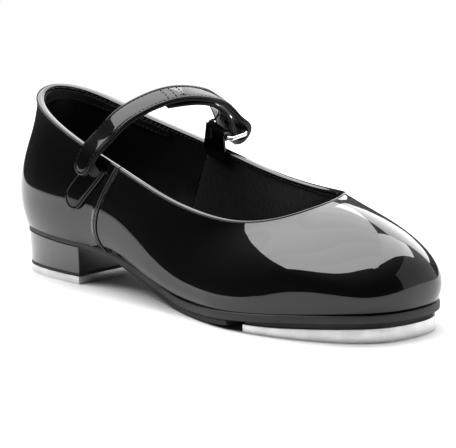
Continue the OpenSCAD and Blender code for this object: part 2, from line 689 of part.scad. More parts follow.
butt_gap = play;
base_t0 = peel_t + butt_gap / strap_speed;
module strap_end() {
    color("#0b0b0d") strap_layer(0, peel_t, strap_w, glue / 2, strap_layer_t, true, 20);
}
module strap_end_lining() {
    color("#18181a") strap_layer(0, peel_t, strap_w, -strap_layer_t, -glue / 2, true, 20);
}
module strap_base() {
    color("#0b0b0d") strap_layer(base_t0, strap_end_t, strap_w, glue / 2, strap_layer_t, false, 60);
}
module strap_base_lining() {
    color("#18181a") strap_layer(base_t0, strap_end_t, strap_w, -strap_layer_t, -glue / 2, false, 60);
}
module hook_patch() {
    color("#2a2a2e") strap_layer(0.2, 1.05, strap_w - 2.4, -strap_layer_t - glue - pile_t,
        -strap_layer_t - glue, true, 5);
}

module placed() { translate([-mid_x, 0, 0]) children(); }

placed() outsole();
placed() sole_pad();
placed() bottom_filler();
placed() shank_plate();
placed() shank_rivets();
placed() insole_board();
placed() sock_liner();
placed() heel_block();
placed() heel_nails();
placed() heel_lift();
placed() heel_tap();
placed() heel_tap_screws();
placed() toe_tap_board();
placed() toe_tap();
placed() toe_tap_screws();
placed() vamp();
placed() quarter_lateral();
placed() quarter_medial();
placed() toe_puff();
placed() heel_counter();
placed() foam_lateral();
placed() foam_medial();
placed() vamp_lining();
placed() quarter_lining();
placed() collar_facing();
placed() vamp_binding();
placed() quarter_binding();
placed() closure_tab();
placed() loop_patch();
placed() ring_tab();
placed() strap_ring();
placed() strap_base();
placed() strap_base_lining();
placed() strap_end();
placed() strap_end_lining();
placed() hook_patch();
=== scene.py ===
import math

import bpy
import numpy as np
from mathutils import Matrix, Vector


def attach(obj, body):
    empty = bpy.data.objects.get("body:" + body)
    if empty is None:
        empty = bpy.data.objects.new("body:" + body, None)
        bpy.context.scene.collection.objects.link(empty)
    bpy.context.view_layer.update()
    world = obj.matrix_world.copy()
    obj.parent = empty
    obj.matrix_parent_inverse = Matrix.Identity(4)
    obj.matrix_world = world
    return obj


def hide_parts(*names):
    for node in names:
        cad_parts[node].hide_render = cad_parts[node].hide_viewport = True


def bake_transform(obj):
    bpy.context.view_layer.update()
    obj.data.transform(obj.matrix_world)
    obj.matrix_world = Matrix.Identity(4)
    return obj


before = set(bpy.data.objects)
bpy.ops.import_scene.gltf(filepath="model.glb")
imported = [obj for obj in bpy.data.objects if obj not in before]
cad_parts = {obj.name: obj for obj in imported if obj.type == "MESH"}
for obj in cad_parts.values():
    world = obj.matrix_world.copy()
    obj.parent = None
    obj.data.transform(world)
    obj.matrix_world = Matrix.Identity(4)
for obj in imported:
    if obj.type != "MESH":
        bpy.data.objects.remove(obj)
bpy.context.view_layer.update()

bpy.ops.object.select_all(action="DESELECT")

# Sizes of the shoe in millimetres, x from the back of the heel, as the solids have them
shoe = {
    "length": 196, "ballWidth": 73, "backHeight": 72, "midX": 96.5, "glue": 0.05, "play": 0.3,
    "outsole": 3, "seat": 2, "pad": 2.3, "padAir": 0.3, "toeSpring": 5.2, "margin": 1,
    "insole": 1.5, "sock": 2, "block": 11.2, "breastX": 42.5, "lift": 1, "heelTaper": 1.4,
    "tap": 3, "tapRise": 2.4, "toeTapLength": 51, "skin": 1.1, "core": 0.6, "lining": 0.6,
    "tuck": 8, "binding": 1.9, "bindingLip": 0.35, "heelRise": 1.8, "seamU": 3, "toeU": 8,
    "turns": 16, "seamBow": 0.16,
}
halfWidth = shoe["ballWidth"] / 2
liningDepth = shoe["skin"] + shoe["glue"] + shoe["core"] + shoe["glue"]
fullDepth = liningDepth + shoe["lining"]

# Stations round the last, from the back of the heel along the outer side: foot of the upper
# as shares of length and half width, then the top edge with its share of the back height
feather = np.array([
    [0.003, 0], [0.044, -0.51], [0.17, -0.66], [0.306, -0.65], [0.47, -0.71], [0.653, -0.995],
    [0.832, -0.89], [0.962, -0.49], [0.997, 0.06], [0.97, 0.55], [0.857, 0.87], [0.694, 0.985],
    [0.49, 0.67], [0.306, 0.6], [0.17, 0.64], [0.048, 0.48]])
topline = np.array([
    [0.005, 0, 0.995], [0.058, -0.38, 0.93], [0.187, -0.559, 0.815], [0.344, -0.681, 0.705],
    [0.489, -0.715, 0.591], [0.62, -0.627, 0.531], [0.718, -0.472, 0.559], [0.76, -0.205, 0.603],
    [0.773, 0.07, 0.631], [0.76, 0.33, 0.646], [0.719, 0.535, 0.633], [0.622, 0.71, 0.62],
    [0.5, 0.785, 0.646], [0.352, 0.705, 0.748], [0.194, 0.555, 0.863], [0.058, 0.385, 0.968]])
# Fullness of the wall from heel to toe: lower handle out and up, upper handle out and down
wall = np.array([
    [13.3, 0.49, -1.2, 0.39], [7.2, 0.41, 1.3, 0.38], [8.5, 0.42, 2.1, 0.3], [9.4, 0.23, 3.1, 0.39],
    [12.6, 0.13, 3.5, 0.47], [3.4, 0.34, 4.4, 0.37], [1.5, 0.6, 14.6, 0.39], [8, 0.45, 20.8, 0.28],
    [9, 0.6, 23.4, 0.05]])


def ease(t):
    c = np.clip(t, 0, 1)
    return c * c * (3 - 2 * c)


def unit(v):
    return v / np.linalg.norm(v, axis=-1, keepdims=True)


def col(x):
    return np.asarray(x, float)[..., None]


def splineMix(a, b, c, d, t):
    return ((1 - t) ** 3 * a + (3 * t ** 3 - 6 * t * t + 4) * b
            + (-3 * t ** 3 + 3 * t * t + 3 * t + 1) * c + t ** 3 * d) / 6


def closedFit(points):
    one = np.eye(len(points))
    return np.linalg.solve((4 * one + np.roll(one, 1, 0) + np.roll(one, -1, 0)) / 6, points)


def openFit(points):
    m = np.eye(len(points))
    for i in range(1, len(points) - 1):
        m[i, i - 1:i + 2] = [1 / 6, 4 / 6, 1 / 6]
    return np.linalg.solve(m, points)


def around(fit, u):
    u = np.asarray(u, float)
    i = np.floor(u).astype(int)
    a, b, c, d = (fit[(i + k) % len(fit)] for k in (-1, 0, 1, 2))
    return splineMix(a, b, c, d, col(u - i))


def along(fit, u):
    u = np.asarray(u, float)
    i = np.clip(np.floor(u).astype(int), 0, len(fit) - 2)
    longer = np.vstack([2 * fit[0] - fit[1], fit, 2 * fit[-1] - fit[-2]])
    a, b, c, d = (longer[i + k] for k in (0, 1, 2, 3))
    return splineMix(a, b, c, d, col(u - i))


ballZ = shoe["padAir"] + shoe["pad"] + shoe["outsole"]
seatZ = shoe["tap"] + shoe["lift"] + shoe["block"] + shoe["seat"]
ballX = 0.55 * shoe["length"]


def soleTop(x):
    return (ballZ + (seatZ - ballZ) * ease((ballX - x) / (0.32 * shoe["length"]))
            + shoe["toeSpring"] * ease((x - ballX) / (shoe["length"] - ballX))
            + shoe["heelRise"] * ease(1 - x / shoe["breastX"]))


def soleLow(x):
    return soleTop(x) - shoe["seat"] - (shoe["outsole"] - shoe["seat"]) * ease(
        (x - shoe["breastX"]) / shoe["breastX"])


def soleMargin(x):
    return -0.7 + (shoe["margin"] + 0.7) * ease((x - shoe["breastX"]) / (0.3 * shoe["length"]))


featherAt = feather * [shoe["length"], halfWidth]
featherFit = closedFit(featherAt)


def footXy(u):
    return around(featherFit, u)


def footOut(u):
    t = footXy(np.asarray(u) + 0.02) - footXy(np.asarray(u) - 0.02)
    return unit(np.stack([t[..., 1], -t[..., 0]], -1))


stations = np.arange(shoe["turns"])
wallAt = wall[np.where(stations <= shoe["toeU"], stations, shoe["turns"] - stations)]
topAt = topline * [shoe["length"], halfWidth, shoe["backHeight"]]
soleAt = soleTop(featherAt[:, 0])
outAt = footOut(stations)
lowFit = closedFit(np.column_stack([
    featherAt + outAt * wallAt[:, :1], soleAt + wallAt[:, 1] * (topAt[:, 2] - soleAt)]))
highFit = closedFit(np.column_stack([
    topAt[:, :2] + outAt * wallAt[:, 2:3], topAt[:, 2] - wallAt[:, 3] * (topAt[:, 2] - soleAt)]))
topFit = closedFit(topAt)


def foot(u):
    f = footXy(u)
    return np.concatenate([f, col(soleTop(f[..., 0]) + shoe["glue"])], -1)


def top(u):
    return around(topFit, u)


def skin(u, v):
    v = col(v)
    w = 1 - v
    return (w ** 3 * foot(u) + 3 * w * w * v * around(lowFit, u)
            + 3 * w * v * v * around(highFit, u) + v ** 3 * top(u))


def skinOut(u, v):
    u, v = np.asarray(u, float), np.asarray(v, float)
    return unit(np.cross(skin(u + 0.03, v) - skin(u - 0.03, v),
                         skin(u, np.minimum(1, v + 0.02)) - skin(u, np.maximum(0, v - 0.02))))


def under(u, v, depth):
    return skin(u, v) - col(depth) * skinOut(u, v)


def nearSeam(u, s):
    return np.maximum(0, 1 - abs(u - s))


def bowed(u, v):  # the side seams curve back between sole and top edge
    return u - shoe["seamBow"] * 4 * v * (1 - v) * (
        nearSeam(u, shoe["seamU"]) - nearSeam(u, shoe["turns"] - shoe["seamU"])
        - nearSeam(u, -shoe["seamU"]))


def rimShare(u, drop):
    return 1 - drop / (3 * np.linalg.norm(top(u) - around(highFit, u), axis=-1))


def metres(points):
    return (np.asarray(points, float) - [shoe["midX"], 0, 0]) * 0.001


def toLinear(code):
    parts = [int(code[i:i + 2], 16) / 255 for i in (1, 3, 5)]
    return [c / 12.92 if c <= 0.04045 else ((c + 0.055) / 1.055) ** 2.4 for c in parts] + [1]


def addNode(tree, kind, inputs=None, stops=()):
    # an input is a value or another node's output; stops are a ramp's places and hex colours
    node = tree.nodes.new("ShaderNode" + kind)
    for key, value in (inputs or {}).items():
        if isinstance(value, bpy.types.NodeSocket):
            tree.links.new(value, node.inputs[key])
        else:
            node.inputs[key].default_value = value
    for index, (place, code) in enumerate(stops):
        node.color_ramp.elements[index].color = toLinear(code)
        node.color_ramp.elements[index].position = place
    return node


# How far a pattern's value swings before a colour or a roughness reaches its end
swing = {"low": 0.3, "high": 0.7}


def makeMaterial(name, colour, sockets, tone=None, wear=None, relief=(), stretch=(1, 1, 1),
                 normals=("Normal",)):
    # sizes and depths are in millimetres: tone runs the colour between two hex values, wear runs
    # the roughness between two numbers, and relief is a row of patterns, the coarsest first
    material = bpy.data.materials.new(name)
    material.use_nodes = True
    tree = material.node_tree
    shader = tree.nodes["Principled BSDF"]
    shader.inputs["Base Color"].default_value = toLinear(colour)
    for key, value in sockets.items():
        shader.inputs[key].default_value = value
    spot = addNode(tree, "TexCoord").outputs["Object"]
    space = addNode(tree, "Mapping", {"Vector": spot, "Scale": stretch}).outputs["Vector"]
    normal = None
    for grain in relief:
        own = space
        if "stretch" in grain:
            turned = addNode(tree, "Mapping", {"Vector": spot, "Scale": grain["stretch"]})
            own = turned.outputs["Vector"]
        pattern = addNode(tree, grain.get("kind", "TexNoise"), {
            "Vector": own, "Scale": 1000 / grain["size"], **grain.get("inputs", {})})
        height = pattern.outputs[grain.get("output", "Fac")]
        bump = addNode(tree, "Bump", {"Height": height, "Distance": grain["depth"] * 0.001})
        if normal:
            tree.links.new(normal, bump.inputs["Normal"])
        normal = bump.outputs["Normal"]
    for socket in normals:
        tree.links.new(normal, shader.inputs[socket])
    if wear:
        pattern = addNode(tree, "TexNoise", {
            "Vector": space, "Scale": 1000 / wear["size"], "Detail": wear["detail"]})
        span = addNode(tree, "MapRange", {
            "Value": pattern.outputs["Fac"], "From Min": swing["low"], "From Max": swing["high"],
            "To Min": wear["range"][0], "To Max": wear["range"][1]})
        tree.links.new(span.outputs["Result"], shader.inputs["Roughness"])
    if tone:
        pattern = addNode(tree, "TexNoise", {
            "Vector": space, "Scale": 1000 / tone["size"], "Detail": tone["detail"],
            "Roughness": tone.get("rough", 0.5)})
        ramp = addNode(tree, "ValToRGB", {"Fac": pattern.outputs["Fac"]}, (
            (swing["low"], tone["colours"][0]), (swing["high"], tone["colours"][1])))
        tree.links.new(ramp.outputs["Color"], shader.inputs["Base Color"])
    return material


# Patent leather: split leather under a poured polyurethane film, so the eye sees a deep black
# with mirror-like lights that swim a little over the film's long ripple; the copy for the strap
# and its tabs has a weaker film, painted shade that dims their reflections where less light falls
def makePatent(name, ripple, peel, film):
    return makeMaterial(
        name, "#020203",
        {"Coat Weight": film, "Coat Roughness": 0.02, "Coat IOR": 1.5, "Specular IOR Level": 0.03},
        wear={"size": 20, "detail": 4, "range": (0.38, 0.5)},
        relief=({"size": 11, "depth": ripple, "inputs": {"Detail": 1}},
                {"size": 1.6, "depth": peel}),
        normals=("Normal", "Coat Normal"))


# Cast resin rubber: dull edge with the faint drag marks of a trimming knife
def makeSole(name, colour, rough, grain):
    return makeMaterial(
        name, colour, {"Specular IOR Level": 0.4}, stretch=(1, 1, 3),
        tone={"size": 12, "detail": 5, "colours": (colour, "#2a2a2b")},
        wear={"size": 6, "detail": 4, "range": (rough - 0.08, rough + 0.08)},
        relief=({"size": 1.2, "depth": grain, "inputs": {"Detail": 4, "Roughness": 0.7}},))


# Cloths: a pile or a knit, drawn by two sizes of noise, with a soft sheen at grazing light;
# the threads of 0.1 mm are too fine to show, so the pattern is a few times coarser
def makeCloth(name, dark, light, size, depth, stretch, sheen):
    return makeMaterial(
        name, dark, {"Roughness": 0.92, "Specular IOR Level": 0.2, "Sheen Weight": sheen,
                     "Sheen Roughness": 0.45}, stretch=stretch,
        tone={"size": size * 4, "detail": 5, "rough": 0.65, "colours": (dark, light)},
        relief=({"size": size * 3, "depth": depth * 1.5, "inputs": {"Detail": 3}},
                {"size": size, "depth": depth, "inputs": {"Detail": 3, "Roughness": 0.7}}))


# Coated microfibre: matt and even, with a fine pressed grain of small cells
def makeGrained(name, dark, light, rough, size, depth):
    return makeMaterial(
        name, dark, {"Specular IOR Level": 0.35},
        tone={"size": 15, "detail": 4, "colours": (dark, light)},
        wear={"size": 8, "detail": 4, "range": (rough - 0.06, rough + 0.08)},
        relief=({"kind": "TexVoronoi", "output": "Distance", "size": size, "depth": depth},))


# Boards, felt, foam and cork inside the shoe: pressed fibres or granules, quite matt
def makeBoard(name, dark, light, size):
    return makeMaterial(
        name, dark, {"Roughness": 0.88},
        tone={"size": size, "detail": 6, "rough": 0.7, "colours": (dark, light)},
        relief=({"size": size / 2, "depth": 0.08, "inputs": {"Detail": 4}},))


patentLeather = makePatent("patentLeatherPoured", 0.06, 0.004, 1)
# painted shade: a copy of the patent with coat weight 0.6, darkening the reflections on the strap, closure tab
# and ring tab
shadedStrapPatent = makePatent("patentLeatherShadedCopy", 0.04, 0.005, 0.6)
# Lacquered moulded heel: harder and smoother than the leather beside it
heelGloss = makeMaterial(
    "lacqueredHeelPlastic", "#09090a", {"Roughness": 0.32, "Coat Weight": 1, "Coat Roughness": 0.05},
    relief=({"size": 14, "depth": 0.04, "inputs": {"Detail": 1}}, {"size": 0.9, "depth": 0.002}))
soleResin = makeSole("castResinRubber", "#202021", 0.55, 0.03)
padRubber = makeSole("crepedRubber", "#141415", 0.72, 0.09)
# Tumbled cast aluminium: pale, satin, with soft dents and hair scratches
aluminium = makeMaterial(
    "tumbledAluminium", "#dcdcdd", {"Metallic": 1},
    tone={"size": 9, "detail": 4, "colours": ("#cfcfd0", "#e6e6e6")},
    wear={"size": 5, "detail": 5, "range": (0.3, 0.46)},
    relief=({"size": 4, "depth": 0.05, "inputs": {"Detail": 3}},
            {"size": 4, "depth": 0.012, "inputs": {"Detail": 5, "Roughness": 0.65},
             "stretch": (1, 14, 1)}))
# Zinc-plated steel for screws, nails, rivets and the shank: greyer and less even
steel = makeMaterial(
    "zincPlatedSteel", "#9c9ea2", {"Metallic": 1},
    tone={"size": 3, "detail": 4, "colours": ("#86888c", "#b4b6ba")},
    wear={"size": 2, "detail": 5, "range": (0.28, 0.5)},
    relief=({"size": 0.8, "depth": 0.01, "inputs": {"Detail": 3}},))
# Bright nickel-chrome wire: a mirror, with faint polishing marks
chrome = makeMaterial(
    "nickelChromeWire", "#dfe1e4", {"Metallic": 1},
    wear={"size": 3, "detail": 3, "range": (0.06, 0.13)},
    relief=({"size": 1.2, "depth": 0.004},))
brushedLining = makeCloth("brushedTricot", "#060607", "#131316", 0.5, 0.12, (1.6, 1.6, 0.5), 0.18)
sockCloth = makeCloth("nappedSockTextile", "#0b0b0c", "#1b1b1e", 0.6, 0.12, (1, 1.4, 1), 0.25)
loopCloth = makeCloth("loopPile", "#101012", "#242428", 0.4, 0.3, (1, 1, 1), 0.35)
smoothLining = makeGrained("coatedMicrofibre", "#0e0e10", "#17171a", 0.5, 0.9, 0.02)
strapLining = makeGrained("mattStrapBacking", "#161618", "#222225", 0.62, 0.7, 0.03)
thread = makeCloth("bondedPolyesterThread", "#0a0a0b", "#1c1c1e", 0.3, 0.04, (1, 1, 1), 0.1)
hiddenLooks = {
    "bottom_filler": makeBoard("pressedCork", "#8a6238", "#c79a62", 2.2),
    "insole_board": makeBoard("celluloseBoard", "#b59a6c", "#d2bd93", 3.5),
    "toe_puff": makeBoard("stiffenerFelt", "#7c6d55", "#9c8c70", 3),
    "heel_counter": makeBoard("stiffenerFelt", "#7c6d55", "#9c8c70", 3),
    "foam_lateral": makeBoard("latexFoam", "#cfcab8", "#e6e2d4", 1.2),
    "foam_medial": makeBoard("latexFoam", "#cfcab8", "#e6e2d4", 1.2),
    "shank_plate": steel, "shank_rivets": steel, "heel_nails": steel,
}
for node, look in hiddenLooks.items():
    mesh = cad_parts[node].data
    mesh.materials.clear()
    mesh.materials.append(look)
print("materials made")


def deselectAll():
    bpy.ops.object.select_all(action="DESELECT")


def activate(piece):
    deselectAll()
    piece.select_set(True)
    bpy.context.view_layer.objects.active = piece


def inEdit(piece, work):
    activate(piece)
    bpy.ops.object.mode_set(mode="EDIT")
    bpy.ops.mesh.select_all(action="SELECT")
    work()
    bpy.ops.object.mode_set(mode="OBJECT")


def modified(piece, kind, **settings):
    activate(piece)
    modifier = piece.modifiers.new(kind.title(), kind)
    for key, value in settings.items():
        setattr(modifier, key, value)
    bpy.ops.object.modifier_apply(modifier=modifier.name)


def closeShell(piece, doubles=1e-6):
    def work():
        bpy.ops.mesh.remove_doubles(threshold=doubles)
        bpy.ops.mesh.fill_holes(sides=0)
        bpy.ops.mesh.select_all(action="SELECT")
        bpy.ops.mesh.normals_make_consistent(inside=False)
    inEdit(piece, work)


def smooth(piece, angle=40):
    activate(piece)
    bpy.ops.object.shade_smooth_by_angle(angle=math.radians(angle))


def settle(piece, body, material, slotName, *nodes):
    piece.data.materials.clear()
    piece.data.materials.append(material)
    if body:
        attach(piece, body)
    if nodes:
        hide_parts(*nodes)
    return piece


def readSpots(piece):
    spots = np.zeros(len(piece.data.vertices) * 3)
    piece.data.vertices.foreach_get("co", spots)
    return spots.reshape(-1, 3)


def writeSpots(piece, spots):
    piece.data.vertices.foreach_set("co", np.ascontiguousarray(spots, float).ravel())
    piece.data.update()


def shapedGrid(name, us, vs, surface):
    # a flat grid whose crossings are laid on a surface given in millimetres
    deselectAll()
    bpy.ops.mesh.primitive_grid_add(x_subdivisions=len(us) - 1, y_subdivisions=len(vs) - 1, size=1)
    piece = bpy.context.object
    piece.name = piece.data.name = name
    spots = readSpots(piece)
    i = np.rint((spots[:, 0] + 0.5) * (len(us) - 1)).astype(int)
    j = np.rint((spots[:, 1] + 0.5) * (len(vs) - 1)).astype(int)
    writeSpots(piece, metres(surface(np.asarray(us)[i], np.asarray(vs)[j])))
    return piece


# Upper: patent skins
upper = {"stepsPerStation": 26, "rows": 60, "edge": 0.01, "raise": 0.45, "lap": 2.3,
         "groove": 1.25, "grooveDepth": 0.22}


def seamDistance(u, seam):
    return abs(u - seam) * 29  # one station is about 29 mm there


def overlap(u, v):
    # the quarters lap over the vamp: a raised edge with one sewn groove behind it
    e = np.minimum(seamDistance(u, shoe["seamU"]), seamDistance(u, shoe["turns"] - shoe["seamU"]))
    lift = upper["raise"] * (1 - ease((e - upper["lap"]) / 1.3))
    return (lift - upper["grooveDepth"] * np.exp(-((e - upper["groove"]) / 0.2) ** 2)
            - upper["raise"] * np.maximum(0, 1 - e / 0.4) ** 2)


def skinRows(u0, u1, name, lap):
    vs = np.concatenate([[-2, -1], np.linspace(0, 1, upper["rows"])])
    fine = [0, 0.1, 0.2, 0.4, 0.7, 0.95, 1.1, 1.18, 1.25, 1.32, 1.4, 1.55, 1.8, 2.1, 2.4, 2.8, 3.3, 4]
    us = np.linspace(u0, u1, int((u1 - u0) * upper["stepsPerStation"]))
    if lap == "end":
        us = np.concatenate([us[us < u1 - 0.15], u1 - np.array(fine[::-1]) / 29])
    if lap == "start":
        us = np.concatenate([u0 + np.array(fine) / 29, us[us > u0 + 0.15]])

    def surface(u, v):
        w = np.maximum(v, 0) * rimShare(u, 1.0)
        p = under(bowed(u, w), w, -overlap(u, w) if lap else 0 * u)
        tucked = foot(u)
        for level, inward in ((-1, 0.5), (-2, shoe["tuck"])):
            q = tucked[..., :2] - inward * footOut(u)
            flat = np.concatenate([q, col(soleTop(q[..., 0]) + shoe["glue"])], -1)
            p = np.where(col(v == level), flat, p)
        return p

    piece = shapedGrid(name, us, vs, surface)
    modified(piece, "SOLIDIFY", thickness=shoe["skin"] * 0.001, offset=-1)
    smooth(piece, 50)
    return piece


edge, seam, turns = upper["edge"], shoe["seamU"], shoe["turns"]
vampSkin = settle(skinRows(seam + edge, turns - seam - edge, "vampSkin", None),
                  "shoe", patentLeather, "patent", "vamp")
settle(skinRows(edge, seam - edge / 2, "outerQuarterSkin", "end"),
       "shoe", patentLeather, "patent", "quarter_lateral")
settle(skinRows(turns - seam + edge / 2, turns - edge, "innerQuarterSkin", "start"),
       "shoe", patentLeather, "patent", "quarter_medial")
print("upper skins made")


# Linings
def liningSheet(name, u0, u1, v0, depth, thick):
    us = np.linspace(u0, u1, int((u1 - u0) * 18))
    vs = np.linspace(0, 1, 34)

    def surface(u, v):
        high = rimShare(u, shoe["binding"] + 0.1)
        w = v0 + v * (high - v0)
        return under(bowed(u, w), w, depth + 0 * u)

    piece = shapedGrid(name, us, vs, surface)
    modified(piece, "SOLIDIFY", thickness=thick * 0.001, offset=-1)
    smooth(piece, 50)
    return piece


liningFoot = 0.02
settle(liningSheet("vampLiningCloth", seam + edge, turns - seam - edge, liningFoot, liningDepth,
                   shoe["lining"]), "shoe", brushedLining, "lining_fabric", "vamp_lining")
settle(liningSheet("quarterLiningSheet", edge - seam, seam - edge, liningFoot, liningDepth,
                   shoe["lining"]), "shoe", smoothLining, "lining_smooth", "quarter_lining")

collar = {"reach": 2.4, "thick": 0.5, "height": 5.2}


def collarFoot(u):
    return rimShare(u, shoe["binding"] + collar["height"] * (1 - 0.35 * abs(u) / collar["reach"]))


def collarSurface(u, v):
    low, high = collarFoot(u), rimShare(u, shoe["binding"] + 0.1)
    w = low + v * (high - low)
    return under(bowed(u, w), w, fullDepth + shoe["glue"] + 0 * u)


collarBand = shapedGrid("collarBand", np.linspace(-collar["reach"], collar["reach"], 100),
                        np.linspace(0, 1, 10), collarSurface)
modified(collarBand, "SOLIDIFY", thickness=collar["thick"] * 0.001, offset=-1)
modified(collarBand, "BEVEL", width=0.00015, segments=2, limit_method="ANGLE")
smooth(collarBand, 50)
settle(collarBand, "shoe", smoothLining, "lining_smooth", "collar_facing")
print("linings made")


# Rolled binding: a bead of patent over the top edge, with a flat skirt on each side
binding = {"lip": shoe["bindingLip"], "height": shoe["binding"], "steps": 22}


def bindingSurface(u, w):
    # w runs round the section: up the outside, over the crest, down the inside and back
    outside, inside = -binding["lip"], fullDepth + binding["lip"]
    mid, half = (outside + inside) / 2, (inside - outside) / 2
    turn = np.clip((w - 0.2) / 0.45, 0, 1) * math.pi
    depth = mid - half * np.cos(turn)
    drop = 0.95 * (1 - np.sin(turn))
    down = np.clip(w / 0.2, 0, 1)
    drop = np.where(w < 0.2, 1.4 - 0.45 * down, drop)
    depth = np.where(w < 0.2, outside + 0.3 * (1 - down) ** 2, depth)
    back = np.clip((w - 0.65) / 0.2, 0, 1)
    drop = np.where(w > 0.65, 0.95 + (binding["height"] - 0.95) * back, drop)
    depth = np.where(w > 0.65, inside - 0.12 * back ** 3, depth)
    across = np.clip((w - 0.85) / 0.15, 0, 1)
    depth = np.where(w > 0.85, inside - 0.12 + (outside - inside + 0.42) * across, depth)
    drop = np.where(w > 0.85, binding["height"] + (1.4 - binding["height"]) * across, drop)
    o = skinOut(u, 0.99 + 0 * u)
    a = unit(skin(u, 1 + 0 * u) - skin(u, 0.98 + 0 * u))
    return top(u) - col(depth) * o - col(drop) * a


def bindingPiece(name, u0, u1):
    ws = [0, 0.05, 0.1, 0.15] + list(np.linspace(0.2, 0.65, 19)) + [0.7, 0.75, 0.8, 0.85, 0.9, 0.95, 1]
    piece = shapedGrid(name, np.linspace(u0, u1, int((u1 - u0) * binding["steps"])), ws, bindingSurface)
    closeShell(piece)
    smooth(piece, 50)
    return piece


settle(bindingPiece("vampEdging", seam + edge, turns - seam - edge),
       "shoe", patentLeather, "patent", "vamp_binding")
settle(bindingPiece("quarterEdging", edge - seam, seam - edge),
       "shoe", patentLeather, "patent", "quarter_binding")
print("binding made")


# Stitches: one thread bump, copied along a row
stitch = {"pitch": 2.1, "share": 0.74, "thick": 0.42}


def threadBump():
    deselectAll()
    bpy.ops.mesh.primitive_uv_sphere_add(segments=8, ring_count=6, radius=0.5)
    piece = bpy.context.object
    spots = readSpots(piece)
    faces = [tuple(p.vertices) for p in piece.data.polygons]
    bpy.data.objects.remove(piece)
    return spots, faces


bumpSpots, bumpFaces = threadBump()


def stitchRow(name, path, outward, pitch=None, sunk=0.08):
    # path and outward: many points in millimetres along the row
    pitch = pitch or stitch["pitch"]
    reach = np.concatenate([[0], np.cumsum(np.linalg.norm(np.diff(path, axis=0), axis=1))])
    count = max(1, int(reach[-1] / pitch))
    pitch = reach[-1] / count
    spots, faces = [], []
    for k in range(count):
        a, b = (k + 0.5 - stitch["share"] / 2) * pitch, (k + 0.5 + stitch["share"] / 2) * pitch
        ends = [np.array([np.interp(s, reach, path[:, i]) for i in range(3)]) for s in (a, b)]
        up = unit(np.array([np.interp((a + b) / 2, reach, outward[:, i]) for i in range(3)]))
        forward = unit(ends[1] - ends[0])
        side = unit(np.cross(up, forward))
        up = np.cross(forward, side)
        length = np.linalg.norm(ends[1] - ends[0]) + 0.15
        local = bumpSpots * [length, stitch["thick"], stitch["thick"]]
        sag = -(local[:, :1] / length * 2) ** 2 * 0.16
        centre = (ends[0] + ends[1]) / 2 + up * (stitch["thick"] / 2 - sunk)
        spots.append(centre + local[:, :1] * forward + local[:, 1:2] * side + (local[:, 2:] + sag) * up)
        faces += [tuple(v + k * len(bumpSpots) for v in f) for f in bumpFaces]
    mesh = bpy.data.meshes.new(name)
    mesh.from_pydata([tuple(p) for p in metres(np.vstack(spots))], [], faces)
    piece = bpy.data.objects.new(name, mesh)
    bpy.context.scene.collection.objects.link(piece)
    smooth(piece, 60)
    return piece


def joined(name, parts):
    deselectAll()
    for part in parts:
        part.select_set(True)
    bpy.context.view_layer.objects.active = parts[0]
    bpy.ops.object.join()
    parts[0].name = parts[0].data.name = name
    return parts[0]


def seamRow(name, seamAt, side):
    v = np.linspace(0.03, 0.955, 90)
    u = seamAt + side * upper["groove"] / 29 + 0 * v
    w = v * rimShare(u, shoe["binding"])
    uv = bowed(u, w)
    return stitchRow(name, under(uv, w, -overlap(u, w)), skinOut(uv, w), 2.0, 0.16)


us = np.linspace(edge - seam, turns - seam - edge, 1400)
inner = fullDepth + binding["lip"]
rim = (top(us) - inner * skinOut(us, 0.99 + 0 * us)
           - 1.35 * unit(skin(us, 1 + 0 * us) - skin(us, 0.98 + 0 * us)))
bindingThread = stitchRow("bindingThread", rim, -skinOut(us, 0.99 + 0 * us), 2.1, 0.12)
cu = np.linspace(-collar["reach"] + 0.03, collar["reach"] - 0.03, 500)
cv = collarFoot(cu) + 0.02
collarLine = under(bowed(cu, cv), cv, fullDepth + shoe["glue"] + collar["thick"])
collarThread = stitchRow("collarThread", collarLine, -skinOut(cu, cv), 2.2, 0.14)
upperThreads = joined("upperThreads", [
    bindingThread, collarThread, seamRow("seamThreadOuter", seam, -1),
    seamRow("seamThreadInner", turns - seam, 1)])
settle(upperThreads, "shoe", thread, "lining_fabric")
print("upper stitching made")


# Strips with a sewn rim: strap, strap backing, closure tab and the hook and loop patches
def rimmedStrip(name, length, half, profile, place, startAt=0.0, roundEnd=False, step=1.1):
    # profile: (distance in from the edge, height), from the middle of the under face, round the
    # edge and back to the middle of the upper face
    straight = np.linspace(length, startAt + half, max(8, int((length - half) / step)))
    arc = np.radians(np.linspace(0, 180, 29))[1:-1]
    kinds = [("side", a, -1) for a in straight] + [("arc", q, 0) for q in arc] + [
        ("side", a, 1) for a in straight[::-1]]
    profile = np.array(profile)

    def surface(s, k):
        out = np.zeros((len(s), 3))
        inset, height = profile[k.astype(int), 0], profile[k.astype(int), 1]
        r = half - inset
        a, b = np.zeros(len(s)), np.zeros(len(s))
        for i, (kind, value, side) in enumerate(kinds):
            here = s == i
            if kind == "side":
                a[here], b[here] = value, side * r[here]
            else:
                a[here] = startAt + half - r[here] * math.sin(value)
                b[here] = -r[here] * math.cos(value)
        out[:] = place(a, b, height)
        return out

    piece = shapedGrid(name, np.arange(len(kinds)), np.arange(len(profile)), surface)
    closeShell(piece, 2e-6)
    smooth(piece, 50)
    return piece


def stripRow(length, half, inset, height, place, startAt=0.0):
    # the sewn line at one distance in from the edge, up one side, round the tip and back
    r = half - inset
    side = np.linspace(length, startAt + half, 300)
    arc = np.linspace(0, math.pi, 60)
    a = np.concatenate([side, startAt + half - r * np.sin(arc), side[::-1]])
    b = np.concatenate([-r + 0 * side, -r * np.cos(arc), r + 0 * side])
    return place(a, b, height + 0 * a), unit(place(a, b, height + 1 + 0 * a) - place(a, b, height + 0 * a))


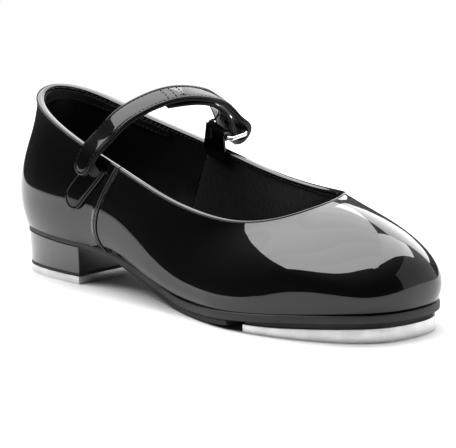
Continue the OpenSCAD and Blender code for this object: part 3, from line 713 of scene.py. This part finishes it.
# Ring, its tab and the strap's path
ring = {"u": 12.9, "slope": math.radians(22), "tilt": math.radians(8), "rise": 5.8, "wire": 1.6,
        "depth": 9.2, "room": 1.3, "bend": 1.6, "tabThick": 1.0}
strap = {"width": 10, "layer": 1.15, "arch": 18, "foldR": 4.2, "foldDrop": 1.4, "skived": 0.45,
         "peelT": 4}
tab = {"width": 11, "thick": 1.1, "gap": 0.2, "pile": 0.6, "low": np.array([2.3, 0.35]),
       "high": np.array([2.62, 0.9]), "loopStart": 17}
bore = ring["wire"] / 2 + shoe["play"]
ringTop = top(ring["u"])
barOne = np.array([ringTop[0], ringTop[1] - fullDepth - shoe["bindingLip"] - shoe["glue"] + bore + 0.5,
                   ringTop[2] + ring["rise"]])
barDir = np.array([math.cos(ring["slope"]), 0, -math.sin(ring["slope"])])
barUp = np.array([math.sin(ring["slope"]), 0, math.cos(ring["slope"])])
across = np.array([0.0, 1.0, 0.0])
barTwo = barOne + ring["depth"] * (math.cos(ring["tilt"]) * across + math.sin(ring["tilt"]) * barUp)
ringWidth = strap["width"] + 2 * ring["room"] + ring["wire"]


def archPoint(s, shift, h):
    nearTop = top(2.57)
    return nearTop + s * (barTwo - nearTop) + np.array([shift, 0, h * strap["arch"]])


def foldPoint(a):
    a = math.radians(a)
    return barTwo - strap["foldDrop"] * barUp + strap["foldR"] * (math.cos(a) * across + math.sin(a) * barUp)


stackDepth = (tab["gap"] + tab["thick"] + 2 * tab["pile"] + 2 * shoe["glue"] + shoe["play"]
              + strap["layer"])
strapAt = np.array(
    [under(2.48, 0.72, -stackDepth), under(2.52, 0.955, -stackDepth),
     archPoint(0.028, 0.9, 0.37), archPoint(0.138, 2.7, 0.72), archPoint(0.339, 3.1, 0.95),
     archPoint(0.555, 2.7, 0.99), archPoint(0.759, 1.4, 0.83), archPoint(0.89, 0.4, 0.6),
     archPoint(0.985, 0, 0.27)]
    + [foldPoint(a) for a in (45, -11, -67, -123, -179)]
    + [archPoint(0.84, 1.1, 0.51), archPoint(0.66, 1.6, 0.81), archPoint(0.43, 2.4, 0.885)])
k = np.clip((np.arange(len(strapAt)) - 2) / 5, 0, 1)
strapTurn = np.column_stack([-12 + 12 * ease(k), -13 - 9 * np.minimum(1, np.arange(len(strapAt)) / 7)])
strapFit, turnFit = openFit(strapAt), openFit(strapTurn)
lastT = len(strapAt) - 1
tTable = np.linspace(0, lastT, 4000)
reachTable = np.concatenate([[0], np.cumsum(np.linalg.norm(np.diff(along(strapFit, tTable), axis=0), axis=1))])
strapLength = reachTable[-1]


def strapT(a):
    return np.interp(a, reachTable, tTable)


def strapPlace(a, b, height):
    t = strapT(np.asarray(a, float))
    f = unit(along(strapFit, np.minimum(lastT, t + 0.02)) - along(strapFit, np.maximum(0, t - 0.02)))
    q = np.radians(along(turnFit, t))
    w = np.stack([np.cos(q[:, 0]) * np.cos(q[:, 1]), np.sin(q[:, 0]) * np.cos(q[:, 1]), np.sin(q[:, 1])], -1)
    w = unit(w - (w * f).sum(-1, keepdims=True) * f)
    thin = 1 - (1 - strap["skived"]) * ease((t - lastT + 3) / 2)
    return along(strapFit, t) + col(b) * w + col(np.asarray(height) * thin) * np.cross(w, f)


half, layer = strap["width"] / 2, strap["layer"]
patentProfile = [(half, 0.03), (3.0, 0.03), (0.4, 0.03), (0.12, 0.06), (0.02, 0.2), (0, 0.45),
                 (0.05, 0.72), (0.2, 0.95), (0.42, 1.08), (0.68, 1.1), (0.88, 1.03), (1.02, 0.9),
                 (1.15, 0.84), (1.3, 0.88), (1.48, 0.98), (1.8, 1.07), (2.4, 1.13), (3.4, 1.17),
                 (4.3, 1.19), (half, 1.2)]
backingProfile = [(half, -layer), (3.0, -layer), (0.5, -layer), (0.2, -layer + 0.06), (0.04, -layer + 0.22),
                  (0, -0.7), (0, -0.35), (0.05, -0.12), (0.25, -0.03), (1.5, -0.03), (half, -0.03)]
strapSkin = rimmedStrip("strapSkin", strapLength, half, patentProfile, strapPlace)
strapBacking = rimmedStrip("strapBacking", strapLength, half, backingProfile, strapPlace)
strapReach = np.interp(11, tTable, reachTable)
rowPath, rowOut = stripRow(strapReach, half, 1.16, 0.86, strapPlace)
threads = [stitchRow("strapEdgeThread", rowPath, rowOut, 1.9, 0.14)]
for place in (4.45, 4.72, 4.99):  # three rows across, where the turned end is sewn down
    b = np.linspace(-half + 1.3, half - 1.3, 40)
    a = np.interp(place, tTable, reachTable) + 0 * b
    path = strapPlace(a, b, 1.2 + 0 * b)
    outward = unit(strapPlace(a, b, 2 + 0 * b) - path)
    threads.append(stitchRow("strapCrossThread", path, outward, 1.7, 0.16))
strapThreads = joined("strapThreads", threads)
peelPoint = metres(strapPlace([np.interp(strap["peelT"], tTable, reachTable)], [0], [layer]))[0]
for piece, look, slotName, nodes in (
        (strapSkin, shadedStrapPatent, "patent", ("strap_base", "strap_end")),
        (strapBacking, strapLining, "strap_lining", ("strap_base_lining", "strap_end_lining")),
        (strapThreads, thread, "lining_fabric", ())):
    settle(piece, None, look, slotName, *nodes)
    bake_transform(piece)
print("strap made")

# Hook patch under the strap's free end
speed = np.linalg.norm(strapAt[1] - strapAt[0])
pileLow, pileHigh = -layer - shoe["glue"] - tab["pile"], -layer - shoe["glue"]


def pileProfile(low, high, half):
    return [(half, low), (1.5, low), (0.3, low), (0.08, low + 0.12), (0, (low + high) / 2),
            (0.08, high - 0.1), (0.3, high), (1.5, high), (half, high)]


hookPile = rimmedStrip("hookPile", 1.05 * speed, half - 1.2, pileProfile(pileLow, pileHigh, half - 1.2),
                       strapPlace, startAt=0.2 * speed)
settle(hookPile, "strap_end", loopCloth, "hook_loop", "hook_patch")

# Closure tab on the outer quarter
tabMid = (tab["low"] + tab["high"]) / 2
alongU = (skin(tabMid[0] + 0.05, tabMid[1]) - skin(tabMid[0] - 0.05, tabMid[1])) / 0.1
alongV = (skin(tabMid[0], tabMid[1] + 0.05) - skin(tabMid[0], tabMid[1] - 0.05)) / 0.1
span = (tab["high"][0] - tab["low"][0]) * alongU + (tab["high"][1] - tab["low"][1]) * alongV
tabLength = np.linalg.norm(span)
tabSide = np.cross(skinOut(tabMid[0], tabMid[1]), span / tabLength)


def toStation(d):
    uu, uv, vv = alongU @ alongU, alongU @ alongV, alongV @ alongV
    du, dv, k = d @ alongU, d @ alongV, uu * vv - uv * uv
    return np.array([(du * vv - dv * uv) / k, (dv * uu - du * uv) / k])


tabStep, sideStep = toStation(span / tabLength), toStation(tabSide)


def tabPlace(a, b, height):
    s = tab["low"] + col(a) * tabStep + col(b) * sideStep
    return under(s[:, 0], s[:, 1], -np.asarray(height))


tabHalf, base = tab["width"] / 2, tab["gap"]
tabProfile = [(tabHalf, base), (3, base), (0.3, base), (0.05, base + 0.12), (0, base + 0.4)] + [
    (e, base + d - 0.06) for e, d in patentProfile[6:-3]] + [(tabHalf, base + 1.12)]
closureTab = rimmedStrip("closureTabLeather", tabLength, tabHalf, tabProfile, tabPlace)
settle(closureTab, "shoe", shadedStrapPatent, "patent", "closure_tab")
tabPath, tabOut = stripRow(tabLength - 0.6, tabHalf, 1.16, base + 0.8, tabPlace)
settle(stitchRow("closureTabThread", tabPath, tabOut, 1.9, 0.14), "shoe", thread, "lining_fabric")
pileBase = tab["gap"] + tab["thick"] + shoe["glue"]
loopPile = rimmedStrip("loopPile", tabLength - 1, tabHalf - 1.5,
                       pileProfile(pileBase, pileBase + tab["pile"], tabHalf - 1.5), tabPlace,
                       startAt=tab["loopStart"])
settle(loopPile, "shoe", loopCloth, "hook_loop", "loop_patch")

# Ring: round wire, bent to a rectangle
def ringPoint(k, q):
    # the wire's centre line, corner by corner, and the round of the wire about it
    w, d, r = ringWidth / 2, ring["depth"], ring["bend"]
    corners = np.array([(w - r, r, -90), (w - r, d - r, 0), (r - w, d - r, 90), (r - w, r, 180)])
    k = k.astype(int) % 52
    turn = np.radians(corners[k // 13, 2] + (k % 13) * 7.5)
    wire = ring["wire"] / 2 * np.cos(q)
    x = corners[k // 13, 0] + (r + wire) * np.cos(turn)
    y = corners[k // 13, 1] + (r + wire) * np.sin(turn)
    z = ring["wire"] / 2 * np.sin(q)
    flat, steep = math.cos(ring["tilt"]), math.sin(ring["tilt"])
    return (barOne + col(x) * barDir + col(y * flat - z * steep) * across
            + col(y * steep + z * flat) * barUp)


ringWire = shapedGrid("ringWire", np.arange(53), np.radians(np.linspace(0, 360, 25)), ringPoint)
closeShell(ringWire)
smooth(ringWire, 60)
settle(ringWire, "ring", chrome, "ring", "strap_ring")

# Ring tab: one strip of leather up inside the lining and round the inner bar
ringTabWidth = ringWidth - 2 * ring["bend"] - 0.6
legDepth = fullDepth + shoe["bindingLip"] + shoe["glue"]
stationLength = np.linalg.norm(top(ring["u"] + 0.5) - top(ring["u"] - 0.5))


def ringTabPoint(s, k):
    u = ring["u"] - s / stationLength
    height = np.interp(k, [0, 8, 12], [0.9, 0.975, 1.0])
    leg = under(u, np.minimum(height, 1), legDepth + 0 * u)
    rimPoint = top(u) - legDepth * skinOut(u, 0.99 + 0 * u)
    leg = np.where(col(k >= 12), rimPoint, leg)
    a = np.radians(np.clip(k - 14, 0, 40) * 290 / 40)
    loop = (barOne + col(s) * barDir + bore * (col(np.sin(a)) * barUp - col(np.cos(a)) * across))
    between = col(np.clip((k - 12) / 2, 0, 1))
    return np.where(col(k >= 14), loop, leg * (1 - between) + loop * between)


def ringTabGrid():
    piece = shapedGrid("ringTabLeather", np.linspace(-ringTabWidth / 2, ringTabWidth / 2, 14),
                       np.arange(55), ringTabPoint)
    modified(piece, "SOLIDIFY", thickness=ring["tabThick"] * 0.001, offset=1)
    modified(piece, "BEVEL", width=0.0002, segments=3, limit_method="ANGLE",
             angle_limit=math.radians(50))
    smooth(piece, 50)
    return piece


ringTab = ringTabGrid()
settle(ringTab, "shoe", shadedStrapPatent, "patent", "ring_tab")
print("ring and tabs made")


# Plates that follow the shoe's plan: a filled outline, cut across, pulled up and shaped
def outline(grow, steps=16):
    u = np.arange(turns * steps) / steps
    p = footXy(u)
    return p + col(grow(p[:, 0])) * footOut(u)


def plate(name, loop, low, high, x0=None, x1=None, gap=4.0, edgeRound=0.3, cutters=(), angle=35):
    deselectAll()
    bpy.ops.mesh.primitive_circle_add(vertices=len(loop), radius=0.05, fill_type="NGON")
    piece = bpy.context.object
    piece.name = piece.data.name = name
    writeSpots(piece, np.column_stack([loop * 0.001, np.zeros(len(loop))]))

    def work():
        ends = (((x0, 1),) if x0 is not None else ()) + (((x1, -1),) if x1 is not None else ())
        for x, keep in ends:
            bpy.ops.mesh.select_all(action="SELECT")
            bpy.ops.mesh.bisect(plane_co=(x / 1000, 0, 0), plane_no=(keep, 0, 0), clear_inner=True)
        lows = loop[:, 0].min() if x0 is None else x0
        highs = loop[:, 0].max() if x1 is None else x1
        for x in np.arange(lows + gap / 2, highs, gap):
            bpy.ops.mesh.select_all(action="SELECT")
            bpy.ops.mesh.bisect(plane_co=(x / 1000, 0, 0), plane_no=(1, 0, 0))
        bpy.ops.mesh.select_all(action="SELECT")
        bpy.ops.mesh.extrude_region_move(TRANSFORM_OT_translate={"value": (0, 0, 0.001)})
        bpy.ops.mesh.select_all(action="SELECT")
        bpy.ops.mesh.normals_make_consistent(inside=False)
    inEdit(piece, work)
    spots = readSpots(piece) * 1000
    z = np.where(spots[:, 2] > 0.5, high(spots[:, 0]), low(spots[:, 0]))
    writeSpots(piece, metres(np.column_stack([spots[:, :2], z])))
    for cutter in cutters:
        modified(piece, "BOOLEAN", operation="DIFFERENCE", object=cutter, solver="EXACT")
        bpy.data.objects.remove(cutter)
    if edgeRound:
        modified(piece, "BEVEL", width=edgeRound * 0.001, segments=3, limit_method="ANGLE",
                 angle_limit=math.radians(angle))
    smooth(piece, 35)
    return piece


def flat(value):
    return lambda x: value + 0 * x


toeTapX = shoe["length"] - shoe["toeTapLength"] - 2
padX0, padX1 = 0.33 * shoe["length"], toeTapX - 7
outsole = plate("outsoleResin", outline(soleMargin), soleLow, soleTop, edgeRound=0.45)
settle(outsole, "shoe", soleResin, "sole", "outsole")
padHigh = lambda x: soleLow(x) - shoe["glue"]
ballPad = plate("ballPad", outline(lambda x: soleMargin(x) - 0.5),
                lambda x: padHigh(x) - shoe["pad"] * (0.35 + 0.65 * ease((x - padX0) / 15)), padHigh,
                padX0, padX1, 3.0)
settle(ballPad, "shoe", padRubber, "sole", "sole_pad")
insoleTop = lambda x: soleTop(x) + shoe["skin"] + 2 * shoe["glue"] + shoe["insole"]
sock = plate("sockLinerCloth", outline(flat(-fullDepth - 0.15)), lambda x: insoleTop(x) + shoe["glue"],
             lambda x: insoleTop(x) + shoe["glue"] + shoe["sock"], edgeRound=0.8)
settle(sock, "shoe", sockCloth, "sock", "sock_liner")


# Tap screws: countersunk heads with a cross recess
screw = {"d": 2.4, "head": 5, "sink": 0.3, "slot": 0.7, "slotLength": 3.0, "slotDepth": 0.9}


def screwBody(name, x, y, length, gap=0.0):
    deselectAll()
    cone = (screw["head"] - screw["d"]) / 2
    start = -1.0 if gap else screw["sink"]
    bpy.ops.mesh.primitive_circle_add(vertices=40, radius=(screw["head"] / 2 + gap) / 1000, fill_type="NGON",
                                      location=(x / 1000, y / 1000, start / 1000))
    piece = bpy.context.object
    piece.name = piece.data.name = name
    bpy.ops.object.transform_apply(location=True, rotation=False, scale=False)

    def work():
        rise = lambda z: bpy.ops.mesh.extrude_region_move(TRANSFORM_OT_translate={"value": (0, 0, z / 1000)})
        rise(screw["sink"] + 0.3 - start)
        rise(cone)
        share = (screw["d"] / 2 + gap) / (screw["head"] / 2 + gap)
        bpy.ops.transform.resize(value=(share, share, 1), center_override=(x / 1000, y / 1000, 0))
        rise(length - cone - 0.6)
        bpy.ops.mesh.select_all(action="SELECT")
        bpy.ops.mesh.normals_make_consistent(inside=False)
    inEdit(piece, work)
    if not gap:
        for turn in (0.3, 0.3 + math.pi / 2):
            bpy.ops.mesh.primitive_cube_add(size=0.001, location=(x / 1000, y / 1000, screw["sink"] / 1000),
                                            rotation=(0, 0, turn))
            cross = bpy.context.object
            cross.scale = (screw["slotLength"], screw["slot"], 2 * screw["slotDepth"])
            modified(piece, "BOOLEAN", operation="DIFFERENCE", object=cross, solver="EXACT")
            bpy.data.objects.remove(cross)
        modified(piece, "BEVEL", width=0.00008, segments=2, limit_method="ANGLE",
                 angle_limit=math.radians(40))
    writeSpots(piece, readSpots(piece) - [shoe["midX"] / 1000, 0, 0])
    smooth(piece, 35)
    return piece


heelScrews = [(0.28 * shoe["breastX"], 0), (0.76 * shoe["breastX"], -0.36 * halfWidth),
              (0.76 * shoe["breastX"], 0.36 * halfWidth)]
toeScrews = [(toeTapX + a * shoe["toeTapLength"], b * halfWidth)
             for a, b in ((0.27, -0.52), (0.27, 0.52), (0.75, 0.04))]
heelScrewLength = lambda x: 10
toeScrewLength = lambda x: float(soleTop(x)) - 0.8


def screwSet(spots, length, gap=0.0):
    return [screwBody("tapScrew", x, y, length(x), gap) for x, y in spots]


settle(joined("heelTapScrews", screwSet(heelScrews, heelScrewLength)), "shoe", steel, "steel",
       "heel_tap_screws")
settle(joined("toeTapScrews", screwSet(toeScrews, toeScrewLength)), "shoe", steel, "steel",
       "toe_tap_screws")

# Toe tap and the board above it, hollowed at the rear edge
tapHollow = {"r": 60, "deep": 5}


def hollowCutter(setback):
    deselectAll()
    bpy.ops.mesh.primitive_cylinder_add(
        vertices=320, radius=tapHollow["r"] / 1000, depth=0.06,
        location=((toeTapX + setback + tapHollow["deep"] - tapHollow["r"] - shoe["midX"]) / 1000, 0, 0))
    return bpy.context.object


toeTapHigh = lambda x: shoe["tap"] + shoe["tapRise"] * ease((x - toeTapX) / shoe["toeTapLength"])
toeTap = plate("toeTapPlate", outline(lambda x: soleMargin(x) - 1.7), flat(0), toeTapHigh, toeTapX,
               gap=3.0, edgeRound=0.45, cutters=[hollowCutter(0)] + screwSet(toeScrews, toeScrewLength, 0.05))
settle(toeTap, "shoe", aluminium, "tap", "toe_tap")
toeBoard = plate("toeBoard", outline(lambda x: soleMargin(x) - 2.4), lambda x: toeTapHigh(x) + shoe["glue"],
                 lambda x: soleLow(x) - shoe["glue"], toeTapX + 0.6, gap=3.0, edgeRound=0.12,
                 cutters=[hollowCutter(0.6)])
settle(toeBoard, "shoe", padRubber, "sole", "toe_tap_board")


# Heel: block, lift and tap share the back of the sole, cut off straight at the breast
def heelLoop(inset, share):
    p = outline(flat(-inset))
    return np.column_stack([shoe["breastX"] + (p[:, 0] - shoe["breastX"]) * share, p[:, 1] * share])


heelFoot = 1 - shoe["heelTaper"] / shoe["breastX"]
heelBlock = plate("heelBlockGloss", heelLoop(0.4, heelFoot), flat(shoe["tap"] + shoe["lift"] + 0.1),
                  lambda x: soleLow(x) - shoe["glue"], None, shoe["breastX"], 5.0, 0)
spots = readSpots(heelBlock) * 1000 + [shoe["midX"], 0, 0]
grown = 1 + (1 / heelFoot - 1) * np.clip((spots[:, 2] - 4.1) / (shoe["block"] + 3.6), 0, 1)
spots[:, 0] = shoe["breastX"] + (spots[:, 0] - shoe["breastX"]) * grown
spots[:, 1] *= grown
writeSpots(heelBlock, metres(spots))
modified(heelBlock, "BEVEL", width=0.0004, segments=3, limit_method="ANGLE",
         angle_limit=math.radians(35))
smooth(heelBlock, 35)
settle(heelBlock, "shoe", heelGloss, "heel", "heel_block")
heelLift = plate("heelLiftRubber", heelLoop(0.4, heelFoot), flat(shoe["tap"] + shoe["glue"]),
                 flat(shoe["tap"] + shoe["glue"] + shoe["lift"]), None, shoe["breastX"], 5.0, 0.1)
settle(heelLift, "shoe", padRubber, "sole", "heel_lift")
heelTap = plate("heelTapPlate", heelLoop(0.2, heelFoot), flat(0), flat(shoe["tap"]), None, shoe["breastX"],
                5.0, 0.4, screwSet(heelScrews, heelScrewLength, 0.05))
settle(heelTap, "shoe", aluminium, "tap", "heel_tap")
print("soles, heel and taps made")


# Camera
view = {"azimuth": math.radians(43.673), "elevation": math.radians(11.811), "distance": 1.388,
        "target": (0.0015, 0, 0.035), "lens": 284.4, "shift": (0.01346, -0.03397)}
back = Vector((math.sin(view["azimuth"]) * math.cos(view["elevation"]),
               -math.cos(view["azimuth"]) * math.cos(view["elevation"]), math.sin(view["elevation"])))
camera = bpy.data.objects.new("camera", bpy.data.cameras.new("camera"))
bpy.context.scene.collection.objects.link(camera)
camera.data.lens, camera.data.sensor_width = view["lens"], 36
camera.data.shift_x, camera.data.shift_y = view["shift"]
camera.location = Vector(view["target"]) + back * view["distance"]
camera.rotation_mode = "QUATERNION"
camera.rotation_quaternion = (-back).to_track_quat("-Z", "Y")
bpy.context.scene.camera = camera

# Studio: a pale floor, two overlapping softboxes overhead, one low behind, a dim card at the right
studio = {"floor": "#bababa", "floorReach": (-0.42, 2.2), "floorWide": 3.0, "height": 2.2, "room": 0.03,
          "backdrop": 1.0}
towardsCamera = Vector((back.x, back.y, 0)).normalized()
towardsRight = Vector((-towardsCamera.y, towardsCamera.x, 0))


def studioPoint(near, right, z):
    return towardsCamera * near + towardsRight * right + Vector((0, 0, z))


deselectAll()
bpy.ops.mesh.primitive_plane_add(size=1)
floor = bpy.context.object
floor.name = floor.data.name = "floor"
reach, wide = studio["floorReach"], studio["floorWide"]
writeSpots(floor, [
    tuple(studioPoint((reach[0] + reach[1]) / 2 + x * (reach[1] - reach[0]), y * wide, -0.00004))
    for x, y, z in readSpots(floor)])
# Matt studio paint: even, with hardly any shine
floor.data.materials.append(makeMaterial(
    "mattFloorPaint", studio["floor"], {"Roughness": 0.95, "Specular IOR Level": 0.1}, normals=()))


def panel(name, at, size, radiance, towards, turn=0.0):
    # a softbox: what it lights is set by how bright its face looks
    lamp = bpy.data.lights.new(name, "AREA")
    lamp.shape, lamp.size, lamp.size_y = "RECTANGLE", size[0], size[1]
    lamp.energy = radiance * math.pi * size[0] * size[1]
    holder = bpy.data.objects.new(name, lamp)
    bpy.context.scene.collection.objects.link(holder)
    look = (Vector(towards) - Vector(at)).normalized()
    upward = towardsCamera if abs(look.z) > 0.99 else Vector((0, 0, 1))
    side = Matrix.Rotation(-turn, 3, look) @ upward.cross(-look).normalized()
    holder.matrix_world = Matrix((side, (-look).cross(side), -look)).transposed().to_4x4()
    holder.location = at
    return holder


def overhead(name, near, right, length, width, turn, radiance):
    h = studio["height"]
    at = studioPoint(near * h, right * h, h)
    panel(name, at, (width * h, length * h), radiance, at - Vector((0, 0, 1)), turn)


for step in range(8):  # the left softbox fades towards its far end
    overhead("softboxLeft", 0.36 - (step + 0.5) * 0.245, -0.375, 0.245, 1.25, 0, 7.4 - 0.55 * step)
overhead("softboxRight", -0.35, 0.56, 1.55, 0.56, math.radians(133), 7.2)
panel("softboxBehind", studioPoint(-1.75, 0.8, 1.05), (1.15, 1.6), 4.2, (0, 0, 0.05), math.radians(-16))
panel("cardRight", studioPoint(-0.35, 2.1, 1.0), (3.2, 2.2), 0.6, (0, 0, 0.3))
lowFill = panel("lowFill", studioPoint(-0.25, -0.55, 0.4), (0.3, 0.3), 15, studioPoint(-0.05, -0.2, 0))
lowFill.visible_glossy = False
world = bpy.data.worlds.new("studio")
bpy.context.scene.world = world
world.use_nodes = True
worldTree = world.node_tree
worldTree.nodes.clear()
rays = addNode(worldTree, "LightPath")
dim = addNode(worldTree, "Background", {"Color": (1, 1, 1, 1), "Strength": studio["room"]})
bright = addNode(worldTree, "Background", {"Color": (1, 1, 1, 1), "Strength": studio["backdrop"]})
mixed = addNode(worldTree, "MixShader", {
    0: rays.outputs["Is Camera Ray"], 1: dim.outputs["Background"], 2: bright.outputs["Background"]})
addNode(worldTree, "OutputWorld", {"Surface": mixed.outputs["Shader"]})
bpy.context.scene.view_settings.view_transform = "Standard"
print("camera and studio made")
